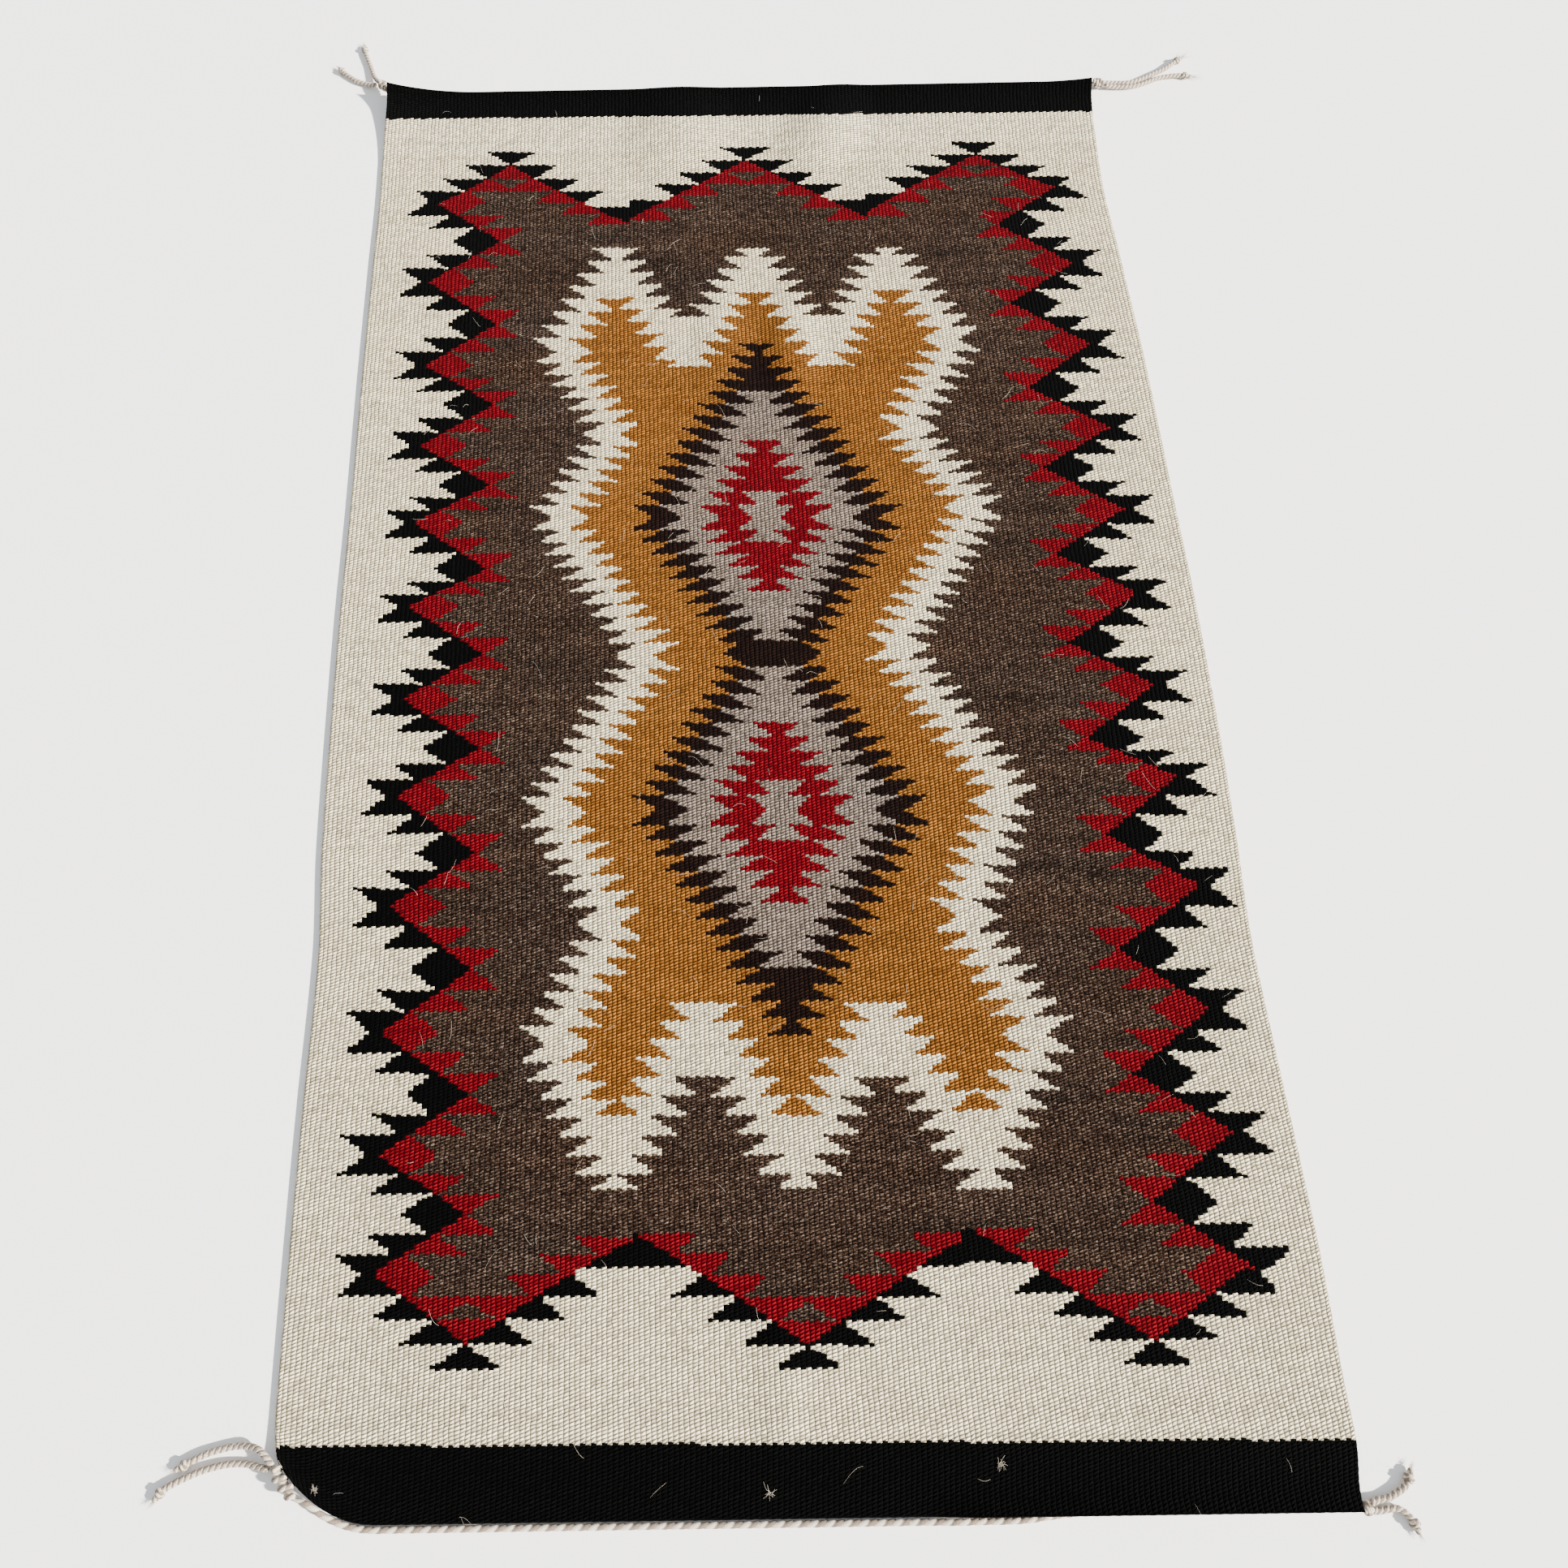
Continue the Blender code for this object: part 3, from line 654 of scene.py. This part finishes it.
piece = add_mesh(
    "web_back",
    np.concatenate([back, *rails]),
    np.concatenate([back_faces, *edge_faces]),
    wools,
    np.concatenate([back_yarn, *edge_yarn]),
    np.concatenate([back_tint, *edge_tint_with_painted_shade]),
    np.concatenate([back_uv, edge_uv]),
)
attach(piece, "root")
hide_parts("web")

# The tails: the free ends of the end cords, two at each corner, spun hard from cream and grey wool.
# Four strands lie side by side in a steep left-hand twist, and each tail is tied off near its tip.
TAIL_DIAMETER = 0.0052
TAIL_TURN = 0.0094
TAIL_ROUTES = {
    # x, y, z in mm along the middle of the cord, from its corner knot
    "tail_near_left_upper": (
        (-394.2, -682.1, 11.1), (-405, -672, 9.0), (-415, -669, 5.6), (-426, -669, 3.4), (-437, -671, 2.9),
        (-448, -674, 2.9), (-457, -678, 2.9), (-465, -682, 2.9), (-471, -685, 2.9),
    ),
    "tail_near_left_lower": (
        (-397.3, -684.6, 8.8), (-408, -682.5, 5.6), (-418, -681, 3.4), (-429, -681, 2.9), (-441, -683, 2.9),
        (-452, -686, 2.9), (-462, -690, 2.9), (-471, -694, 2.9), (-479, -699, 2.9), (-484, -706, 2.9),
    ),
    "tail_near_right_upper": (
        (421.5, -718.1, 4.9), (429, -716, 3.2), (436, -715, 2.9), (443, -712, 2.9), (450, -708, 2.9),
        (455, -702, 2.9), (458, -695, 2.9),
    ),
    "tail_near_right_lower": (
        (422.2, -723.0, 4.0), (429, -723, 3.0), (436, -722, 2.9), (443, -722, 2.9), (449, -726, 2.9),
        (453, -732, 2.9), (455, -739, 2.9),
    ),
    "tail_far_left_upper": (
        (-423.7, 737.1, 8.0), (-431, 750, 4.4), (-437, 768, 2.9), (-441, 779, 2.9), (-445, 791, 2.9), (-448, 804, 2.9),
    ),
    "tail_far_left_lower": (
        (-427.6, 735.5, 6.2), (-438, 740, 3.6), (-451, 746, 2.9), (-459, 752, 2.9), (-467, 759, 2.9), (-475, 768, 2.9),
    ),
    "tail_far_right_upper": (
        (410.6, 719.8, 4.6), (426, 721, 2.9), (439, 721, 2.9), (452, 724, 2.9), (464, 730, 2.9), (475, 736, 2.9),
        (486, 742, 2.9), (496, 750, 2.9), (508, 759, 2.9),
    ),
    "tail_far_right_lower": (
        (412.8, 714.8, 4.4), (426, 714.5, 2.9), (439, 714.5, 2.9), (452, 717, 2.9), (464, 722, 2.9), (475, 727, 2.9),
        (488, 730, 2.9), (502, 731, 2.9), (515, 729, 2.9),
    ),
}


def smooth_route(points, step):
    """Evenly spaced points on a smooth curve through the route's own points"""
    points = np.asarray(points, float)
    ends = np.concatenate([[2 * points[0] - points[1]], points, [2 * points[-1] - points[-2]]])
    share = np.linspace(0.0, 1.0, 24, endpoint=False)[:, None]
    fine = []
    for before, start, end, after in zip(ends, ends[1:], ends[2:], ends[3:]):
        bend = 2 * start + (end - before) * share + (2 * before - 5 * start + 4 * end - after) * share ** 2
        fine.append((bend + (3 * start - before - 3 * end + after) * share ** 3) / 2)
    fine = np.concatenate([*fine, points[-1:]])
    travelled = np.concatenate([[0.0], np.cumsum(np.linalg.norm(np.diff(fine, axis=0), axis=1))])
    count = max(round(travelled[-1] / step), 3)
    wanted = np.linspace(0.0, travelled[-1], count + 1)
    return np.stack([np.interp(wanted, travelled, fine[:, axis]) for axis in range(3)], axis=-1)


def twisted_tube(middle, radius, turn, strands, sides, depth, offset=0.0):
    """Points, faces and the strand of each face, for a closed cord with raised strands"""
    count = len(middle)
    radius = np.broadcast_to(radius, (count,))
    forward = np.gradient(middle, axis=0)
    forward /= np.linalg.norm(forward, axis=1, keepdims=True)
    aside = np.cross(forward, np.array([0.0, 0.0, 1.0]))
    steep = np.linalg.norm(aside, axis=1) < 0.2
    aside[steep] = np.cross(forward[steep], np.array([0.0, 1.0, 0.0]))
    aside /= np.linalg.norm(aside, axis=1, keepdims=True)
    above = np.cross(aside, forward)
    travelled = np.concatenate([[0.0], np.cumsum(np.linalg.norm(np.diff(middle, axis=0), axis=1))])
    angle = np.linspace(0.0, 2.0 * math.pi, sides, endpoint=False)[None, :]
    twist = 2.0 * math.pi * travelled[:, None] / turn + offset
    groove = depth * (1.0 - np.sqrt(np.abs(np.cos((angle - twist) * strands / 2.0))))
    reach = radius[:, None] * (1.0 - groove)
    points = middle[:, None, :] + (np.cos(angle) * reach)[..., None] * aside[:, None, :]
    points = (points + (np.sin(angle) * reach)[..., None] * above[:, None, :]).reshape(-1, 3)
    ring = np.arange(count - 1)[:, None] * sides
    side = np.arange(sides)[None, :]
    a = ring + side
    b = ring + (side + 1) % sides
    faces = np.stack([a, a + sides, b + sides, b], axis=-1).reshape(-1, 4)
    middle_angle = angle + math.pi / sides
    strand = np.floor(((middle_angle - twist[:-1]) * strands / (2.0 * math.pi)) + 0.5).astype(int) % strands
    return points, faces, strand.ravel()


def cord_material(name, colour, fleck):
    """Hard-twisted two-ply wool: matt, with fibres that run with the twist"""
    material = bpy.data.materials.new(name)
    material.use_nodes = True
    tree = material.node_tree
    shader = tree.nodes["Principled BSDF"]
    shader.inputs["Roughness"].default_value = 0.9
    shader.inputs["Specular IOR Level"].default_value = 0.15
    shader.inputs["Sheen Weight"].default_value = 0.10
    room = add_node(tree, "ShaderNodeTexCoord")
    noise = add_node(tree, "ShaderNodeTexNoise", [("Vector", room.outputs["Object"])], Scale=1400.0, Detail=3.0, Roughness=0.7)
    spread = add_node(tree, "ShaderNodeMapRange", [("Value", noise.outputs["Fac"])])
    spread.inputs["From Min"].default_value = 0.35
    spread.inputs["From Max"].default_value = 0.70
    mixed = add_node(tree, "ShaderNodeMix", data_type="RGBA")
    colours = [socket for socket in mixed.inputs if socket.type == "RGBA"]
    colours[0].default_value = linear(colour)
    colours[1].default_value = linear(fleck)
    tree.links.new(spread.outputs["Result"], mixed.inputs["Factor"])
    blended = [socket for socket in mixed.outputs if socket.type == "RGBA"][0]
    tree.links.new(blended, shader.inputs["Base Color"])
    bump = add_node(tree, "ShaderNodeBump", [("Height", noise.outputs["Fac"])], Distance=0.0006, Strength=0.6)
    tree.links.new(bump.outputs["Normal"], shader.inputs["Normal"])
    return material


pale_strand = cord_material("pale_plied_wool", "#CFC3AE", "#A3978A")
dark_strand = cord_material("dark_plied_wool", "#8A7B6C", "#5A4C42")
cord_wools = [pale_strand, dark_strand]


def cord_piece(name, parts):
    """One object of several twisted tubes"""
    points = []
    faces = []
    slots = []
    count = 0
    for part_points, part_faces, strand in parts:
        points.append(part_points)
        faces.append(part_faces + count)
        slots.append(strand % 2)
        count += len(part_points)
    piece = add_mesh(name, np.concatenate(points), np.concatenate(faces), cord_wools, np.concatenate(slots))
    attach(piece, "root")
    return piece


def round_ends(middle, radius, ends):
    """Radius along a cord that closes softly at its ends"""
    place = np.linspace(0.0, 1.0, len(middle))
    near = np.minimum(place, 1.0 - place) * (len(middle) - 1) / ends
    return radius * np.sqrt(np.clip(1.0 - (1.0 - np.clip(near, 0.0, 1.0)) ** 2, 0.0004, 1.0))


def tail_knot(tip, heading, size):
    """An overhand knot: one small tight ring of cord round the tail"""
    heading = heading / np.linalg.norm(heading)
    aside = np.cross(heading, np.array([0.0, 0.0, 1.0]))
    aside /= np.linalg.norm(aside)
    above = np.cross(aside, heading)
    turns = np.linspace(0.0, 2.0 * math.pi * 1.9, 48)[:, None]
    loop = tip + heading * (turns / (2.0 * math.pi) - 0.9) * 0.0021
    return loop + (np.cos(turns) * aside + np.sin(turns) * above) * size


FIBRE_RADIUS = 0.00006


def fibre(start, heading, length):
    """A loose fibre that curls at random and stays off the floor; it is drawn twice as thick as wool, to show"""
    share = np.linspace(0.0, 1.0, 6)[:, None]
    curl = random.normal(0.0, 0.22, 3) * share ** 2 + random.normal(0.0, 0.05, 3) * np.sin(share * 7.0)
    path = start + (heading * share + curl) * length
    path[:, 2] = np.maximum(path[:, 2], 0.0006)
    return twisted_tube(path, np.linspace(1.0, 0.5, 6) * FIBRE_RADIUS, 1.0, 1, 3, 0.0)


for name, route in TAIL_ROUTES.items():
    route = np.array(route) / 1000.0
    middle = smooth_route(route, 0.0006)
    place = np.linspace(0.0, 1.0, len(middle))
    length = float(np.linalg.norm(np.diff(middle, axis=0), axis=1).sum())
    from_tip = (1.0 - place) * length * 1000.0
    radius = round_ends(middle, TAIL_DIAMETER / 2.0, 3) * (1.0 - 0.25 * np.clip(1.0 - from_tip / 4.0, 0.0, 1.0))
    piece = cord_piece(name + "_rope", [twisted_tube(middle, radius, TAIL_TURN, 4, 20, 0.34)])
    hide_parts(name)
    at = int(len(middle) * (1.0 - 8.0 / (length * 1000.0)))
    heading = middle[min(at + 4, len(middle) - 1)] - middle[at - 4]
    loop = tail_knot(middle[at], heading, 0.0026)
    loop[:, 2] = np.maximum(loop[:, 2], 0.0016)
    brush = 0.014 if "far_right" in name else 0.006
    parts = [twisted_tube(loop, round_ends(loop, 0.0016, 3), 0.006, 2, 8, 0.2)]
    for _ in range(46):
        off = random.normal(0.0, 0.0007, 3)
        parts.append(fibre(middle[-3] + off, heading / np.linalg.norm(heading), brush * random.uniform(0.5, 1.0)))
    for _ in range(26):
        root = middle[random.integers(6, len(middle) - 6)]
        parts.append(fibre(root, random.normal(0.0, 1.0, 3), random.uniform(0.003, 0.006)))
    knot = cord_piece(name + "_knot", parts)

# The end cords: two yarns twined round each other and round the loops of warp at each end.
# They show as a twisted cream and grey cord along the near edge and lie tucked under elsewhere.
END_CORD_RADIUS = 0.0025
FLOOR_GAP = 0.0002
PIECE_GAP = 0.0003
TUCK_DEPTH = 0.0015
NEAR_DROP_SPAN = (0.10, 0.14)
NEAR_TUCK_SPAN = (0.155, 0.21)
KNOTS = {
    # start, end, thickness and twist in mm
    "knot_near_left": ((-377.8, -703.3, 8.0), (-393.8, -683.3, 10.5), 10.5, 9.0),
    "knot_near_right": ((416.3, -721.8, 4.8), (421.0, -720.2, 5.2), 8.8, 9.0),
    "knot_far_left": ((-409.5, 720.5, 13.6), (-423.5, 736.0, 7.9), 9.4, 8.0),
    "knot_far_right": ((399.5, 718.5, 5.8), (410.0, 717.8, 5.4), 9.4, 8.0),
}
for end, along, outward, trim_left, trim_right in (("near", 0.0, -1.0, 2, 1), ("far", 1.0, 1.0, 1, 1)):
    across = np.linspace(0.0, 1.0, 63)
    x, y, lift = web_surface(across, np.full(63, along))
    before_x, before_y, _ = web_surface(np.maximum(across - 0.01, 0.0), np.full(63, along))
    after_x, after_y, _ = web_surface(np.minimum(across + 0.01, 1.0), np.full(63, along))
    run = np.hypot(after_x - before_x, after_y - before_y)
    normal_x = -(after_y - before_y) / run * outward
    normal_y = (after_x - before_x) / run * outward
    tuck = np.ones(63) if end == "far" else smooth_share(x, *NEAR_TUCK_SPAN)
    drop = np.ones(63) if end == "far" else smooth_share(x, *NEAR_DROP_SPAN)
    offset = (END_CORD_RADIUS + 2.0 * PIECE_GAP) * (1.0 - tuck) - TUCK_DEPTH * tuck
    under = np.maximum(lift - RIM_LIFT, 0.0)
    beside = np.maximum(lift + WEB_THICKNESS / 2 - END_CORD_RADIUS, 0.0)
    height = END_CORD_RADIUS + FLOOR_GAP + under * drop + beside * (1.0 - drop)
    line = np.stack([x + normal_x * offset, y + normal_y * offset, height], axis=-1)[trim_left:63 - trim_right]
    doors = []
    for side in ("left", "right"):
        start, finish, _, _ = (np.array(part) / 1000.0 for part in KNOTS[f"knot_{end}_{side}"])
        doors.append(start - (finish - start) / np.linalg.norm(finish - start) * 3.6 * PIECE_GAP)
    middle = smooth_route(np.concatenate([[doors[0]], line, [doors[1]]]), 0.0009)
    place = np.linspace(0.0, 1.0, len(middle))
    radius = END_CORD_RADIUS * np.minimum(0.5 + 40.0 * np.minimum(place, 1.0 - place), 1.0)
    cord = cord_piece(f"end_cord_{end}_rope", [twisted_tube(middle, radius, 0.0125, 2, 14, 0.30)])
    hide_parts(f"end_cord_{end}")

# The corner knots: the end cord and the side's yarns wrapped and tied into a short, fat lump.
for name, (start, finish, thickness, turn) in KNOTS.items():
    start = np.array(start) / 1000.0
    finish = np.array(finish) / 1000.0
    size = thickness / 2000.0
    middle = start + (finish - start) * np.linspace(-0.08, 1.08, 60)[:, None]
    heading = (finish - start) / np.linalg.norm(finish - start)
    aside = np.cross(heading, np.array([0.0, 0.0, 1.0]))
    aside /= np.linalg.norm(aside)
    above = np.cross(aside, heading)
    core = twisted_tube(middle, round_ends(middle, size * 0.62, 14), turn / 1000.0, 3, 18, 0.3)
    turns = np.linspace(0.0, 1.0, 150)[:, None]
    spin = turns * 2.0 * math.pi * 3.2 + 0.6
    bulge = 0.55 + 0.25 * np.sqrt(np.clip(1.0 - (2.0 * turns - 1.0) ** 2, 0.0, 1.0))
    wrap = start + (finish - start) * (0.02 + 0.96 * turns)
    wrap = wrap + (np.cos(spin) * aside + np.sin(spin) * above) * size * bulge
    wrap[:, 2] = np.maximum(wrap[:, 2], 0.0021)
    ring = twisted_tube(wrap, round_ends(wrap, 0.0019, 4), 0.007, 2, 10, 0.25)
    knot = cord_piece(name + "_wrap", [core, ring])
    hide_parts(name)

# Stray fibres: pale hairs that work loose from the fleece and lie on the web.
# Three crumbs of lint lie on the near black band, and short hairs stand out from both sides.
LINT = ((0.040, 0.014), (0.460, 0.012), (0.672, 0.024))
hairs = []


def web_fibre(across, along, reach_across, reach_along, arch):
    """A loose fibre that lies on the web and arches a little off it"""
    share = np.linspace(0.0, 1.0, 8)
    bend = random.normal(0.0, 0.35)
    x, y, height = web_surface(
        np.clip(across + reach_across * share - bend * reach_along * share ** 2, 0.0, 1.0),
        np.clip(along + reach_along * share + bend * reach_across * share ** 2, 0.0, 1.0),
    )
    path = np.stack([x, y, height + WEB_THICKNESS + 0.0003 + arch * np.sin(share * math.pi)], axis=-1)
    return twisted_tube(path, FIBRE_RADIUS, 1.0, 1, 3, 0.0)


for _ in range(300):
    angle = random.uniform(0.0, 2.0 * math.pi)
    reach = random.uniform(0.005, 0.016)
    along = random.uniform(0.003, 0.99)
    reach_across = reach * math.cos(angle) / WEB_WIDTH
    reach_along = reach * math.sin(angle) / WEB_LENGTH
    hairs.append(web_fibre(random.uniform(0.02, 0.98), along, reach_across, reach_along, random.uniform(0.0003, 0.002)))
for across, along in LINT:
    for _ in range(26):
        spot = random.normal(0.0, 0.0009, 2)
        reach = random.normal(0.0, 0.0022, 2)
        hairs.append(
            web_fibre(
                across + spot[0] / WEB_WIDTH,
                along + spot[1] / WEB_LENGTH,
                reach[0] / WEB_WIDTH,
                reach[1] / WEB_LENGTH,
                random.uniform(0.0003, 0.0012),
            )
        )
for _ in range(420):
    side = random.integers(0, 2)
    x, y, height = web_surface(float(side), random.uniform(0.005, 0.995))
    root = np.array([float(x) + (0.0008 if side == 0 else -0.0008), float(y), float(height) + WEB_THICKNESS * 0.6])
    heading = np.array([-1.0 if side == 0 else 1.0, random.normal(0.0, 0.9), random.normal(0.1, 0.3)])
    hairs.append(fibre(root, heading, random.uniform(0.002, 0.005)))
cord_piece("stray_fibres", hairs)

# The floor is plain and pale, and the light is a soft sky with a low sun from the right.
floor_mesh = bpy.data.meshes.new("floor")
FLOOR_HALF = 60.0
FLOOR_Z = -0.0005
floor_corners = [(x * FLOOR_HALF, y * FLOOR_HALF, FLOOR_Z) for x, y in ((-1, -1), (1, -1), (1, 1), (-1, 1))]
floor_mesh.from_pydata(floor_corners, [], [(0, 1, 2, 3)])
floor = bpy.data.objects.new("floor", floor_mesh)
bpy.context.scene.collection.objects.link(floor)
floor_material = bpy.data.materials.new("pale_floor")
floor_material.use_nodes = True
floor_shader = floor_material.node_tree.nodes["Principled BSDF"]
floor_shader.inputs["Base Color"].default_value = linear("#F4F3F1")
floor_shader.inputs["Roughness"].default_value = 0.9
floor_mesh.materials.append(floor_material)
sun_data = bpy.data.lights.new("sun", "SUN")
sun_data.energy = 21.0
sun_data.angle = math.radians(2.5)
sun_data.color = (1.0, 0.97, 0.92)
sun = bpy.data.objects.new("sun", sun_data)
sun.rotation_euler = Vector((-0.82, 0.26, -0.50)).to_track_quat("-Z", "Y").to_euler()
bpy.context.scene.collection.objects.link(sun)
world = bpy.context.scene.world or bpy.data.worlds.new("world")
bpy.context.scene.world = world
world.use_nodes = True
world.node_tree.nodes["Background"].inputs["Color"].default_value = linear("#E8EDF4")
world.node_tree.nodes["Background"].inputs["Strength"].default_value = 1.1
